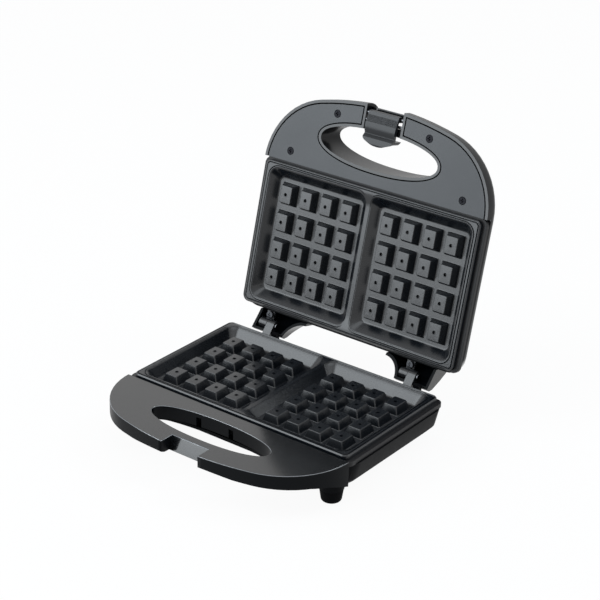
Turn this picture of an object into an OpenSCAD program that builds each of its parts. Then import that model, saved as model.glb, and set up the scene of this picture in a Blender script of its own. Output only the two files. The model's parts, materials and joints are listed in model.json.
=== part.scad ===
// Two-slice waffle maker with a hinged lid, a swinging latch and two tooth-pattern cooking plates.
// Working axes: X to the right, Y to the rear, Z up from the plane where the two plate rims meet.
// Pieces of the lid are drawn shut and are then swung open about the hinge axis.

/* [Cooking plates] */
// Width of a cooking plate
plate_w = 218; // [200:1:240]
// Depth of a cooking plate, front to rear
plate_d = 126; // [118:1:140]
// Corner radius of a plate
plate_r = 5; // [2:0.5:9]
// Thickness of the flange round a plate
flange_t = 4; // [3:0.5:5]
// Depth of a well below the rim
well_depth = 9; // [8:0.5:10]
// Thickness of a well's floor
floor_t = 3; // [2.5:0.5:4]
// Rim left outside the wells at the sides
rim_side = 6; // [5.5:0.5:9]
// Rim left outside the wells at front and rear
rim_end = 5; // [5:0.5:8]
// Width of the rib between the two wells
rib_w = 4; // [3:0.5:8]
// How far the rib and the tooth tops lie below the rim
rib_drop = 2; // [1:0.5:3]
// Slope of a well's side walls, from rim to floor
wall_run = 6; // [4:0.5:8]
// Slope of a well's front and rear walls, from rim to floor
end_run = 8; // [5:0.5:10]
// Corner radius of a well
well_r = 8.5; // [5:0.5:12]

/* [Teeth] */
// Teeth across one well
tooth_cols = 4; // [2:1:5]
// Teeth along one well
tooth_rows = 4; // [2:1:5]
// Width of a tooth's top
tooth_top_w = 11.3; // [8:0.1:13]
// Length of a tooth's top
tooth_top_d = 14.7; // [10:0.1:16]
// Widening of a tooth from top to base, in width
tooth_flare_w = 5.6; // [3:0.1:7]
// Widening of a tooth from top to base, in length
tooth_flare_d = 3.9; // [2:0.1:6]
// Gap between two teeth at the base, across
tooth_gap_w = 4.3; // [3:0.1:6]
// Gap between two teeth at the base, front to rear
tooth_gap_d = 5.8; // [3:0.1:7]
// Radius of the pin mark in a tooth's top
dimple_r = 1; // [0.6:0.1:1.5]

/* [Body] */
// Margin from the plate's side to the outside of the body
side_margin = 4; // [3.5:0.5:7]
// Margin from the plate's rear edge to the outside of the body
rear_margin = 4; // [3.5:0.5:8]
// Wall of the plastic mouldings
wall = 2.5; // [2:0.1:3]
// Radius of the long front curve
front_r = 275; // [250:5:340]
// Radius of the curves from front to sides
corner_r = 63; // [55:1:68]
// Radius of the rear corners
rear_r = 14; // [14:0.5:20]
// Reach of the handles in front of the plate
handle_reach = 68.5; // [64:0.5:74]
// Gap between plate edge and handle
handle_gap = 2; // [1.5:0.5:3]
// Height of the plate frame's band
frame_t = 4; // [3:0.5:5]
// Depth of the straight side wall of the base
side_h = 16; // [14:0.5:20]
// Depth of the rounding from side wall to floor
belly_h = 8; // [7:0.5:10]
// Inward run of that rounding
belly_run = 14; // [10:0.5:20]
// Inward lean of the base's side walls
side_lean = 4; // [2:0.5:6]

/* [Handles] */
// Half length of the finger opening
oval_a = 58.8; // [50:0.2:64]
// Half width of the finger opening
oval_b = 16.1; // [14:0.1:18]
// Width of the strip between finger opening and front edge
oval_strip = 21.2; // [20:0.1:26]
// Fullness of the finger opening: 2 is an ellipse, more is squarer
oval_full = 2.15; // [2:0.05:2.6]
// Half width of the latch notch
notch_half = 18.4; // [18:0.1:22]
// Thickness of a handle at its front edge
grip_h = 9.5; // [9:0.5:13]
// Radius of the screws' positions from the front edge
grip_screw_in = 15.7; // [14:0.1:18]

/* [Lid] */
// Height of the lid's top above the meeting plane
lid_h = 44.5; // [42:0.5:52]
// Height of the upright edge of the lid
lid_edge_h = 8; // [6:0.5:10]
// Depth of the pocket for the top panel
panel_t = 2; // [1.5:0.1:2.5]
// Side margin of the lid's flat top
top_margin = 31; // [28:1:40]
// Opening angle at which the lid stands
open_angle = 104.4; // [90:0.1:108]

/* [Hinges] */
// Distance of the hinge axis behind the plate's rear edge
hinge_back = 14.24; // [13.5:0.02:16]
// Height of the hinge axis above the meeting plane
hinge_z = 1.2; // [0.6:0.1:2]
// Distance of each hinge from the middle
hinge_x = 74; // [70:0.5:76]
// Radius of the hinge pins
pin_r = 2; // [1.5:0.1:2.2]
// Radius of the hinge barrels
barrel_r = 4.5; // [4:0.1:4.6]
// Width of one hinge barrel
barrel_w = 7.8; // [7:0.1:8]
// Outer side of the lid's ears
ear_out = 92; // [91:0.5:96]
// Radius of the hollow between ear and rear wall
ear_hollow_r = 17; // [14:0.5:18]

/* [Latch] */
// Width of the latch
latch_w = 30; // [28:0.2:35]
// Distance of the latch pivot behind the front edge
latch_in = 7.5; // [7:0.1:8]
// Height of the latch pivot above the handle face
latch_up = 2.3; // [2:0.1:3]
// Radius of the latch pin
latch_pin_r = 1.25; // [1:0.05:1.4]
// Outer radius of the latch round its pin
latch_hub_r = 2.5; // [2.3:0.1:2.8]
// Reach from the pivot to the hook
hook_reach = 18.6; // [18.4:0.1:21]

/* [Inside] */
// Diameter of the heating tube
heater_d = 6.5; // [6:0.1:7]
// Half distance between the two runs of the heating tube
heater_half = 30; // [26:0.5:32]
// Distance of the heat shield from the meeting plane
shield_at = 22; // [21.5:0.5:24]
// Sheet thickness of the heat shield
shield_t = 0.8; // [0.6:0.1:1.2]
// Radius of the small screws' shanks
screw_r = 1.5; // [1.3:0.1:1.6]

/* [Stand] */
// Free height under the base
clear_h = 8; // [7:0.5:12]
// Radius of a foot where it meets the base
foot_r = 10; // [9:0.5:12]
// Radius of a foot's resting face
foot_pad_r = 7; // [6:0.5:8]
// Height of a rubber foot
foot_h = 11; // [10:0.5:14]

/* [Hidden] */
$fn = 48;
eps = 0.02;             // overlap of cuts past a face
fit_gap = 0.3;          // clearance between mouldings that fit together
run_gap = 0.08;         // radial clearance of a turning fit
hold_gap = 0.02;        // radial clearance of a held pin or screw
far = 400;              // larger than the object

plate_hw = plate_w / 2;
plate_hd = plate_d / 2;
back_d = well_depth + floor_t;                     // depth of the plate's rear face
tooth_h = well_depth - rib_drop;
tooth_pitch_x = tooth_top_w + tooth_flare_w + tooth_gap_w;
tooth_pitch_y = tooth_top_d + tooth_flare_d + tooth_gap_d;
well_x1 = plate_hw - rim_side;
floor_x1 = well_x1 - wall_run;
floor_x0 = rib_w / 2 + wall_run + 0.5;
well_x0 = rib_w / 2 - rib_drop * (floor_x0 - rib_w / 2) / tooth_h;
well_hd = plate_hd - rim_end;
floor_hd = well_hd - end_run;
teeth_x = (floor_x0 + floor_x1) / 2;
casting = 2;                                        // wall of the plate casting

body_hw = plate_hw + side_margin;
rear_y = plate_hd + rear_margin;
front_y = -(plate_hd + handle_reach);
grip_rear = -(plate_hd + handle_gap);
front_cy = front_y + front_r;
corner_x = body_hw - corner_r;
corner_y = front_cy - sqrt(pow(front_r - corner_r, 2) - pow(corner_x, 2));
tilt = asin(corner_x / (front_r - corner_r));
face_d = rib_drop;                                  // depth of the handle faces
wall_d = flange_t + frame_t;                        // where the side walls start
side_bottom = wall_d + side_h;
base_bottom = side_bottom + belly_h;
frame_hw = body_hw - 0.2;
frame_hd = rear_y - wall + 0.3;
frame_in_hw = plate_hw - 3.5;
frame_in_hd = plate_hd - 2.5;

oval_y = front_y + oval_strip + oval_b;
grip_table = [[front_y, grip_h], [front_y + 4.5, grip_h + 2], [front_y + 33.5, grip_h + 3],
              [front_y + 47.5, grip_h + 5.5], [grip_rear, grip_h + 12]];
grip_screws = [for (s = [-1, 1]) each [[s * 46.2, front_y + grip_screw_in], [s * 87.2, grip_rear - 9.5]]];
boss_r = 3.5;
ramp_top = front_y + 14;
ramp_foot = front_y + 10;
bar_depth = grip_h + 4.3;
slot_sites = [-24.3, 7.8];                          // upright slots in the rear wall of the lower finger opening
slot_hw = 2.4;

hinge_y = plate_hd + hinge_back;
hinge_sides = [-hinge_x, hinge_x];
knuckle_x = -12;                                    // lid barrel's start, from the hinge's middle
lug_x = knuckle_x + barrel_w + 0.4;                 // base lug's start
stop_x = lug_x + barrel_w + 3;                      // stop rib's start
stop_w = 6;
ear_tip = hinge_y + 5.9;
ear_low = -4;
bracket_t = 3;
bracket_low = -(wall_d + 12);
bracket_screw_x = [-7.6, 8.4];
lid_screw = [knuckle_x + barrel_w / 2, rear_y + 3.4];
lid_pad_z = hinge_z + 6;

latch_y = front_y + latch_in;
latch_z = face_d + latch_up;
stop_pin_r = 1.2;
stop_pin_y = ramp_top - 0.5;
stop_pin_z = face_d + stop_pin_r + 0.6;
bridge_y = stop_pin_y + stop_pin_r + 0.4;           // bridge between the lid's notch and finger opening
cheek = 2.1;

cover_gap = 1.1;                                    // shadow gap round the handle cover
cover_web = 0.5;                                    // what a countersunk head leaves of the handle cover
screw_sites = [for (x = [-1, 1], y = [-1, 1]) [x * (plate_hw - 37), y * (plate_hd - 22)]];
plate_boss_r = 4.5;
head_r = 2 * screw_r;
head_h = 2;
heater_x0 = -(plate_hw - 29);
heater_x1 = plate_hw - 54;
heater_z = back_d + heater_d / 2;
pin_end = heater_x0 - 9;                            // end of the heater's cold pins
wire_r = 1.2;
block_hw = 16;                                      // half width of the terminal block
block_y = heater_half - 6;                          // front of the terminal block
strap_t = 1;
strap_at = back_d + heater_d;
clamp_sites = [[heater_x0 + 25, heater_half], [heater_x0 + 25, -heater_half], [heater_x1 - 8, heater_half],
               [heater_x1 - 8, -heater_half]];
clamp_half = heater_d / 2 + 4.2;
shield_hw = plate_hw - 11;
shield_hd = plate_hd - 10;

parting_z = base_bottom + clear_h;
foot_in = 15;                                       // distance of a front foot from the side of the body
rear_foot_in = 33;                                  // and of a rear foot
rear_feet = [for (x = [-1, 1]) [x * (body_hw - rear_foot_in), plate_hd - 7]];
feet = concat([for (x = [-1, 1]) [x * (body_hw - foot_in), -plate_hd - 3]], rear_feet);
foot_seat = foot_h - parting_z;                     // where the base sits on its feet
foot_pad_top = -shield_at - shield_t - 0.6;

// Flat top of the lid, and where the middle of the standing object lies
top_hw = body_hw - top_margin;
top_hd = plate_hd - 14;
front_edge = front_cy - sqrt(pow(front_r, 2) - pow(notch_half, 2));
lid_back = hinge_y - (top_hd - 1.2 + hinge_y) * cos(open_angle) + (lid_h - hinge_z) * sin(open_angle);
plate_y = -(front_edge + lid_back) / 2;
lid_ceiling = lid_h - wall - panel_t;               // underside of the lid's top, below the panel's pocket
head_top = lid_h - panel_t - 0.4;                   // top of the heads of the lid's plate screws
lens_r = 3.2;
lamp_x = 12;
lamp_y = 16 - top_hd;
lamp_z = lid_ceiling - 4;

// ---------- outlines ----------

// Points of an arc of radius r about [x, y]; the last point is left out when keep is 0
function arc(x, y, r, a0, a1, n, keep = 1) =
    [for (i = [0 : n - 1 + keep]) let (a = a0 + (a1 - a0) * i / n) [x + r * cos(a), y + r * sin(a)]];

// The body's outline seen from above, moved inwards by e
function body_outline(e) = concat(
    arc(-corner_x, corner_y, corner_r - e, 180, 270 - tilt, 12, 0),
    arc(0, front_cy, front_r - e, 270 - tilt, 270 + tilt, 12, 0),
    arc(corner_x, corner_y, corner_r - e, 270 + tilt, 360, 12),
    arc(body_hw - rear_r, rear_y - rear_r, rear_r - e, 0, 90, 6),
    arc(rear_r - body_hw, rear_y - rear_r, rear_r - e, 90, 180, 6));

// A rectangle from [x0, y0] to [x1, y1] with corners of radius r
function box_outline(x0, y0, x1, y1, r) = concat(
    arc(x0 + r, y0 + r, r, 180, 270, 6),
    arc(x1 - r, y0 + r, r, 270, 360, 6),
    arc(x1 - r, y1 - r, r, 0, 90, 6),
    arc(x0 + r, y1 - r, r, 90, 180, 6));

// The finger opening, grown by g
function full(c) = sign(c) * pow(abs(c), 2 / oval_full);
function oval(g) = [for (i = [0 : 59]) [(oval_a + g) * full(cos(i * 6)), oval_y + (oval_b + g) * full(sin(i * 6))]];

// Depth of the handle's underside at the place y
function grip_depth(y) = lookup(y, grip_table);

// ---------- helpers ----------

// An outline made into a slab from z0 up to z1
module slab(outline, z0, z1) {
    translate([0, 0, z0]) linear_extrude(z1 - z0) polygon(outline);
}

// A block between two corners
module block(a, b) {
    translate(a) cube(b - a);
}

// A side view drawn as [y, z], spread along X from x0 to x1
module side_view(points, x0, x1) {
    translate([x0, 0, 0]) rotate([90, 0, 90]) linear_extrude(x1 - x0) polygon(points);
}

// A rod from z0 up to z1
module rod(r, z0, z1) {
    translate([0, 0, z0]) cylinder(r = r, h = z1 - z0);
}

// A rod along X from x0 to x1
module cross_rod(r, x0, x1) {
    translate([x0, 0, 0]) rotate([0, 90, 0]) cylinder(r = r, h = x1 - x0);
}

// A rod along Y from y0 to y1
module long_rod(r, y0, y1) {
    translate([0, y1, 0]) rotate([90, 0, 0]) cylinder(r = r, h = y1 - y0);
}

// Places a piece of the base
module in_base() {
    translate([0, plate_y, parting_z]) children();
}

// Places a piece of the lid, swung open about the hinge axis
module in_lid() {
    translate([0, plate_y + hinge_y, parting_z + hinge_z]) rotate([-open_angle, 0, 0])
        translate([0, -hinge_y, -hinge_z]) children();
}

// Turns a piece drawn for the base over, for the lid
module turned() {
    mirror([0, 0, 1]) children();
}

// A screw pointing up: the head's lower face is at z = 0, its cross recess opens downwards
module screw(length) {
    difference() {
        union() {
            rod(head_r, 0, head_h);
            rod(screw_r, head_h - eps, length);
        }
        translate([0, 0, 0.4]) cube([head_r * 1.2, 0.8, 1.2], center = true);
        translate([0, 0, 0.4]) cube([0.8, head_r * 1.2, 1.2], center = true);
    }
}

// ---------- pieces that both halves have ----------

// One tooth: a pyramid without its point, standing on the well's floor
module tooth() {
    tw = tooth_top_w / 2;
    td = tooth_top_d / 2;
    bw = tw + tooth_flare_w / 2;
    bd = td + tooth_flare_d / 2;
    difference() {
        polyhedron(
            points = [[-bw, -bd, -0.5], [bw, -bd, -0.5], [bw, bd, -0.5], [-bw, bd, -0.5],
                      [-tw, -td, tooth_h], [tw, -td, tooth_h], [tw, td, tooth_h], [-tw, td, tooth_h]],
            faces = [[0, 1, 2, 3], [7, 6, 5, 4], [4, 5, 1, 0], [5, 6, 2, 1], [6, 7, 3, 2], [7, 4, 0, 3]]);
        translate([0, 0, tooth_h]) cylinder(r = dimple_r, h = 1.2, center = true, $fn = 16);
    }
}

// A tray-shaped solid between an opening at the top and a floor, for the well on the +X side
module tray(grow, z_top, z_floor) {
    hull() {
        slab(box_outline(well_x0 - grow, -well_hd - grow, well_x1 + grow, well_hd + grow, well_r), z_top - eps, z_top);
        slab(box_outline(floor_x0 - grow, -floor_hd - grow, floor_x1 + grow, floor_hd + grow, well_r / 2),
             z_floor, z_floor + eps);
    }
}

// The bosses of the plate's underside that take the fixing screws
module plate_bosses() {
    for (p = screw_sites) translate(p) difference() {
        rod(plate_boss_r, -shield_at, -back_d + 1);
        rod(screw_r + hold_gap, -shield_at - 1, -back_d - 2);
    }
    for (p = clamp_sites, s = [-1, 1]) translate([p.x, p.y + s * clamp_half, 0]) difference() {
        rod(screw_r + 1.2, -strap_at, -back_d + 1);
        rod(screw_r + hold_gap, -strap_at - 1, -back_d + 0.5);
    }
}

// Two lines pressed round the rim
module rim_lines() {
    for (e = [1.2, 3.1]) difference() {
        slab(box_outline(-plate_hw + e, -plate_hd + e, plate_hw - e, plate_hd - e, plate_r - e), -0.7, 1);
        slab(box_outline(-plate_hw + e + 0.8, -plate_hd + e + 0.8, plate_hw - e - 0.8, plate_hd - e - 0.8,
                         plate_r - e - 0.8), -0.8, 1.1);
    }
}

// A whole cooking plate, facing up
module cooking_plate() {
    difference() {
        union() {
            slab(box_outline(-plate_hw, -plate_hd, plate_hw, plate_hd, plate_r), -flange_t, 0);
            tray(casting, -flange_t + 0.5, -back_d);
            mirror([1, 0, 0]) tray(casting, -flange_t + 0.5, -back_d);
        }
        tray(0, eps, -well_depth);
        mirror([1, 0, 0]) tray(0, eps, -well_depth);
        block([-rib_w / 2 - 0.2, -well_hd, -rib_drop], [rib_w / 2 + 0.2, well_hd, 1]);
        rim_lines();
    }
    for (s = [-1, 1], c = [0 : tooth_cols - 1], r = [0 : tooth_rows - 1])
        translate([s * teeth_x + (c - (tooth_cols - 1) / 2) * tooth_pitch_x,
                   (r - (tooth_rows - 1) / 2) * tooth_pitch_y, -well_depth]) tooth();
    plate_bosses();
}

// The dark band between plate and body
module plate_frame() {
    difference() {
        slab(box_outline(-frame_hw, -frame_hd, frame_hw, frame_hd, 6), -wall_d, -flange_t);
        slab(box_outline(-frame_in_hw, -frame_in_hd, frame_in_hw, frame_in_hd, 4), -wall_d - 1, 0);
    }
}

// Tubular heating element: two runs joined by a half turn, with a cold pin at each end
module heater() {
    translate([0, 0, -heater_z]) {
        for (s = [-1, 1]) translate([0, s * heater_half, 0]) {
            cross_rod(heater_d / 2, heater_x0, heater_x1);
            cross_rod(heater_d / 2 - 1.7, pin_end, heater_x0 + eps);
        }
        translate([heater_x1, 0, 0]) rotate([0, 0, -90]) rotate_extrude(angle = 180)
            translate([heater_half, 0]) circle(r = heater_d / 2);
    }
}

// Flat straps that hold the heating tube to the plate
module heater_straps() {
    for (p = clamp_sites) translate(p) difference() {
        block([-4, -clamp_half - 4, -strap_at - strap_t], [4, clamp_half + 4, -strap_at]);
        for (s = [-1, 1]) translate([0, s * clamp_half, 0]) rod(screw_r + 0.2, -strap_at - 2, -strap_at + 1);
    }
}

// The screws of the straps
module strap_screws() {
    for (p = clamp_sites, s = [-1, 1])
        translate([p.x, p.y + s * clamp_half, -strap_at - strap_t - head_h]) screw(head_h + strap_t + 5);
}

// Sheet pan that keeps the heat away from the moulding
module heat_shield() {
    difference() {
        slab(box_outline(-shield_hw, -shield_hd, shield_hw, shield_hd, 6), -shield_at - shield_t, -shield_at + 6);
        slab(box_outline(-shield_hw + shield_t, -shield_hd + shield_t, shield_hw - shield_t,
                         shield_hd - shield_t, 6 - shield_t), -shield_at, -shield_at + 7);
        for (p = screw_sites) translate(p) rod(screw_r + 0.2, -shield_at - 2, -shield_at + 1);
        for (s = [-1, 1]) block([-shield_hw - 1, s * heater_half - 5, -shield_at - 2],
                                [pin_end + 3, s * heater_half + 5, -shield_at + 8]);
    }
}

// A disc thermostat on the plate's underside: case, cap and two blades
module thermostat() {
    translate([0, 0, -back_d]) {
        rod(8, -5, 0);
        rod(6, -7.5, -5 + eps);
        for (s = [-1, 1]) block([s * 7 - 0.4 + s * 3, -2.5, -6.5], [s * 7 + 0.4 + s * 3, 2.5, -2]);
        for (s = [-1, 1]) block([min(s * 6, s * 10.3), -2.5, -3], [max(s * 6, s * 10.3), 2.5, -2]);
    }
}

// ---------- base ----------

// The rounded solid of the base behind the handle, moved inwards by e
module base_solid(e) {
    hull() {
        slab(box_outline(-body_hw - 1 + e, grip_rear + fit_gap + e, body_hw + 1 - e, rear_y - e, rear_r - e),
             -wall_d - eps, -wall_d + (e > 0 ? 1 : 0));
        slab(box_outline(side_lean - body_hw - 1 + e, grip_rear + fit_gap + e, body_hw + 1 - side_lean - e,
                         rear_y - e, rear_r - e), -side_bottom, -side_bottom + eps);
        slab(box_outline(side_lean - body_hw + 3 + e, grip_rear + 2 + e, body_hw - side_lean - 3 - e,
                         rear_y - 4 - e, rear_r - e), -side_bottom - belly_h * 0.55 + e / 2,
             -side_bottom - belly_h * 0.55 + e / 2 + eps);
        slab(box_outline(-body_hw + belly_run + e, grip_rear + 8 + e, body_hw - belly_run - e,
                         rear_y - 12 - e, rear_r - e), -base_bottom + e, -base_bottom + e + eps);
    }
}

// The part of the base that reaches into the handle shell
module base_nose() {
    difference() {
        intersection() {
            slab(body_outline(wall + fit_gap), -side_bottom, -face_d - wall - fit_gap);
            block([-far, grip_rear - 5, -far], [far, grip_rear + 4, 0]);
        }
        block([-body_hw + 8, grip_rear - 5 + wall, -wall_d - 2], [body_hw - 8, grip_rear + 5, 1]);
        block([-far, grip_rear, -wall_d], [far, grip_rear + 5, 1]);
    }
}

// The closing floor under the handle, which follows the handle's underside
module handle_floor() {
    low = [for (p = grip_table) [p[0], -face_d - p[1] + 0.5]];
    high = [for (i = [len(grip_table) - 1 : -1 : 0]) [grip_table[i][0], -face_d - grip_table[i][1] + 0.5 + wall]];
    difference() {
        intersection() {
            slab(body_outline(wall + fit_gap), -far, 0);
            side_view(concat(low, high), -far, far);
        }
        slab(oval(wall + fit_gap), -far, 1);
        block([-notch_half - wall - fit_gap, -far, -far], [notch_half + wall + fit_gap, oval_y, 1]);
    }
}

// Posts that stand on the handle floor and carry the handle screws' heads
module floor_posts() {
    for (p = grip_screws) translate(p) rod(boss_r + 0.5, -face_d - grip_depth(p.y) + 0.6, -face_d - wall - 5);
}

module lower_housing() {
    color([0.09, 0.09, 0.1]) in_base() {
        difference() {
            union() {
                difference() {
                    base_solid(0);
                    base_solid(wall);
                    block([-far, grip_rear - 1, -wall_d - 8], [far, grip_rear + wall + 1, 1]);
                }
                base_nose();
                handle_floor();
                floor_posts();
                for (p = feet) translate(p) rod(foot_r, -parting_z + foot_h - 1, foot_pad_top);
                intersection() {
                    base_solid(0);
                    for (p = rear_feet) translate(p) rod(foot_r + wall, -base_bottom + wall / 2, foot_pad_top);
                }
                for (p = screw_sites) translate(p) rod(plate_boss_r, -base_bottom + 1, -shield_at - shield_t);
                for (x = hinge_sides) {
                    block([x + bracket_screw_x[0] - 4, rear_y - wall - 4, bracket_low],
                          [x + bracket_screw_x[1] + 4, rear_y - 1, bracket_low + 11]);
                    block([x + stop_x, rear_y - 1, -wall_d - 2], [x + stop_x + stop_w, rear_y + 3.2, hinge_z - 1]);
                }
            }
            for (p = screw_sites) translate(p) {
                rod(screw_r + 0.2, -base_bottom - 1, 0);
                rod(head_r + 0.4, -base_bottom - 1, -base_bottom + 3);
            }
            for (p = grip_screws) translate(p) {
                rod(screw_r + 0.2, -far / 4, 0);
                rod(head_r + 0.4, -far / 4, -face_d - grip_depth(p.y) + 4);
            }
            for (x = hinge_sides, s = bracket_screw_x)
                translate([x + s, 0, bracket_low + 6]) long_rod(screw_r + hold_gap, rear_y - wall - 5, rear_y + 1);
            translate([0, 0, -side_bottom + 6]) long_rod(5.5, rear_y - wall - 3, rear_y + 1);
            for (p = feet) translate(p) {
                rod(foot_r, -far, foot_seat);
                rod(3, foot_seat - 1, foot_seat + 3.6);
            }
        }
    }
}

module lower_handle_shell() {
    profile = concat([for (p = grip_table) [p[0], -face_d - p[1]]], [[grip_rear, -face_d], [front_y, -face_d]]);
    ramp = [[ramp_top, -face_d + 1], [ramp_top, -face_d], [ramp_foot, -bar_depth], [ramp_foot, -far],
            [-far, -far], [-far, 1], [ramp_top, 1]];
    color([0.03, 0.03, 0.035]) in_base() {
        difference() {
            union() {
                difference() {
                    intersection() {
                        slab(body_outline(0), -far, 0);
                        side_view(profile, -far, far);
                    }
                    intersection() {
                        slab(body_outline(wall), -far, -face_d - wall);
                        block([-far, -far, -far], [far, grip_rear + 1, 0]);
                    }
                }
                intersection() {
                    slab(body_outline(wall / 2), -bar_depth, -face_d - eps);
                    union() {
                        intersection() {
                            union() {
                                slab(oval(wall), -bar_depth, -face_d - eps);
                                block([-notch_half - wall, -far, -bar_depth], [notch_half + wall, oval_y, 0]);
                            }
                            side_view(profile, -far, far);
                        }
                        block([-notch_half, ramp_foot, -bar_depth], [notch_half, oval_y - oval_b + wall, -face_d - eps]);
                    }
                }
                for (p = grip_screws) translate(p) rod(boss_r, -face_d - wall - 5, -face_d - wall + 0.5);
            }
            slab(oval(0), -far, 1);
            side_view(ramp, -notch_half, notch_half);
            for (p = grip_screws) translate(p) rod(screw_r + hold_gap, -face_d - wall - 6, -face_d - 1.2);
            for (x = slot_sites) block([x - slot_hw, oval_y + oval_b * 0.6, -bar_depth - 1],
                                       [x + slot_hw, oval_y + oval_b + wall + 1, -face_d - 4]);
        }
    }
}

module lower_plate_frame() {
    color([0.02, 0.02, 0.02]) in_base() plate_frame();
}

module lower_grill_plate() {
    color([0.13, 0.13, 0.14]) in_base() cooking_plate();
}

module lower_heater() {
    color([0.45, 0.45, 0.46]) in_base() heater();
}

module lower_heater_straps() {
    color([0.7, 0.7, 0.7]) in_base() heater_straps();
}

module lower_strap_screws() {
    color([0.6, 0.6, 0.6]) in_base() strap_screws();
}

module lower_heat_shield() {
    color([0.75, 0.75, 0.76]) in_base() heat_shield();
}

module lower_plate_screws() {
    color([0.6, 0.6, 0.6]) in_base() for (p = screw_sites)
        translate([p.x, p.y, -base_bottom + 1]) screw(base_bottom - back_d - 4);
}

module lower_handle_screws() {
    color([0.6, 0.6, 0.6]) in_base() for (p = grip_screws) {
        seat = -face_d - grip_depth(p.y) + 4 - head_h;
        translate([p.x, p.y, seat]) screw(-face_d - 2 - seat);
    }
}

module lower_thermostat() {
    color([0.2, 0.18, 0.16]) in_base() thermostat();
}

module thermal_fuse() {
    color([0.85, 0.8, 0.7]) in_base() translate([30, 0, -back_d - 2.2]) {
        long_rod(2.2, -8, 8);
        long_rod(0.6, -14, 14);
    }
}

module terminal_block() {
    color([0.85, 0.85, 0.82]) in_base() difference() {
        block([-block_hw, block_y, -base_bottom + wall], [block_hw, block_y + 12, -shield_at - shield_t - 0.4]);
        for (x = [-10, 0, 10]) translate([x, 0, -base_bottom + wall + 3.2]) long_rod(1.6, block_y - 1, block_y + 13);
    }
}

module cord_gland() {
    color([0.05, 0.05, 0.05]) in_base() translate([0, 0, -side_bottom + 6]) difference() {
        union() {
            long_rod(5.4, rear_y - wall - 2, rear_y + 1);
            long_rod(7.5, rear_y + hold_gap, rear_y + 3);
        }
        long_rod(3.4, rear_y - 10, rear_y + 10);
    }
}

// A wire of straight runs between the given points, with rounded bends
module wire(points) {
    for (i = [0 : len(points) - 1]) translate(points[i]) sphere(r = wire_r, $fn = 24);
    for (i = [0 : len(points) - 2]) {
        a = points[i];
        b = points[i + 1];
        translate((a + b) / 2) {
            if (a.x != b.x) cross_rod(wire_r, -abs(b.x - a.x) / 2, abs(b.x - a.x) / 2);
            if (a.y != b.y) long_rod(wire_r, -abs(b.y - a.y) / 2, abs(b.y - a.y) / 2);
            if (a.z != b.z) rod(wire_r, -abs(b.z - a.z) / 2, abs(b.z - a.z) / 2);
        }
    }
}

module lower_wiring() {
    color([0.8, 0.8, 0.76]) in_base() for (s = [-1, 1]) {
        x = pin_end - 3 + s * 1.6;
        y = block_y + 4.5 + s * 1.5;
        z = -(shield_at + shield_t + 2.7 + s * 1.4);
        wire([[pin_end - wire_r - hold_gap, s * heater_half, -heater_z], [x, s * heater_half, -heater_z], [x, s * heater_half, z],
              [x, y, z], [-block_hw - wire_r - hold_gap, y, z]]);
    }
}

module feet() {
    color([0.04, 0.04, 0.04]) in_base() for (p = feet) translate([p.x, p.y, -parting_z]) {
        rotate_extrude() polygon([[0, 0], [foot_pad_r, 0], [foot_pad_r + 1.2, 1.2], [foot_r - 0.3, foot_h], [0, foot_h]]);
        rod(3 - hold_gap, foot_h - eps, foot_h + 3.4);
    }
}

// Side view of the base's hinge lug
lug_view = [[rear_y, -wall_d - 1], [rear_y + bracket_t, -wall_d - 1], [hinge_y - 4.6, hinge_z - 7.8],
            [hinge_y - 2.25, hinge_z - 3.9], [hinge_y, hinge_z], [hinge_y - 3.2, hinge_z + 3.1],
            [rear_y, -flange_t]];

module base_hinge_brackets() {
    color([0.22, 0.22, 0.23]) in_base() for (x = hinge_sides) translate([x, 0, 0]) difference() {
        union() {
            block([bracket_screw_x[0] - 4, rear_y, bracket_low], [bracket_screw_x[1] + 4, rear_y + bracket_t, -wall_d]);
            side_view(lug_view, lug_x, lug_x + barrel_w);
            translate([0, hinge_y, hinge_z]) cross_rod(barrel_r, lug_x, lug_x + barrel_w);
        }
        translate([0, hinge_y, hinge_z]) cross_rod(pin_r + hold_gap, lug_x - 1, lug_x + barrel_w + 1);
        block([stop_x - fit_gap, rear_y - 1, -wall_d - 2 - fit_gap], [stop_x + stop_w + 1, rear_y + bracket_t + 1, 0]);
        for (s = bracket_screw_x) translate([s, 0, bracket_low + 6])
            long_rod(screw_r + 0.2, rear_y - 1, rear_y + bracket_t + 1);
    }
}

module base_hinge_screws() {
    color([0.5, 0.5, 0.5]) in_base() for (x = hinge_sides, s = bracket_screw_x)
        translate([x + s, rear_y + bracket_t + head_h, bracket_low + 6]) rotate([90, 0, 0])
            screw(bracket_t + head_h + wall + 3);
}

module hinge_pins() {
    color([0.6, 0.6, 0.62]) in_base() for (x = hinge_sides) translate([x, hinge_y, hinge_z]) {
        cross_rod(pin_r, knuckle_x - 1.2, lug_x + barrel_w + 0.2);
        cross_rod(pin_r + 1.2, lug_x + barrel_w + 0.1, lug_x + barrel_w + 1.5);
    }
}

// ---------- lid ----------

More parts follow.
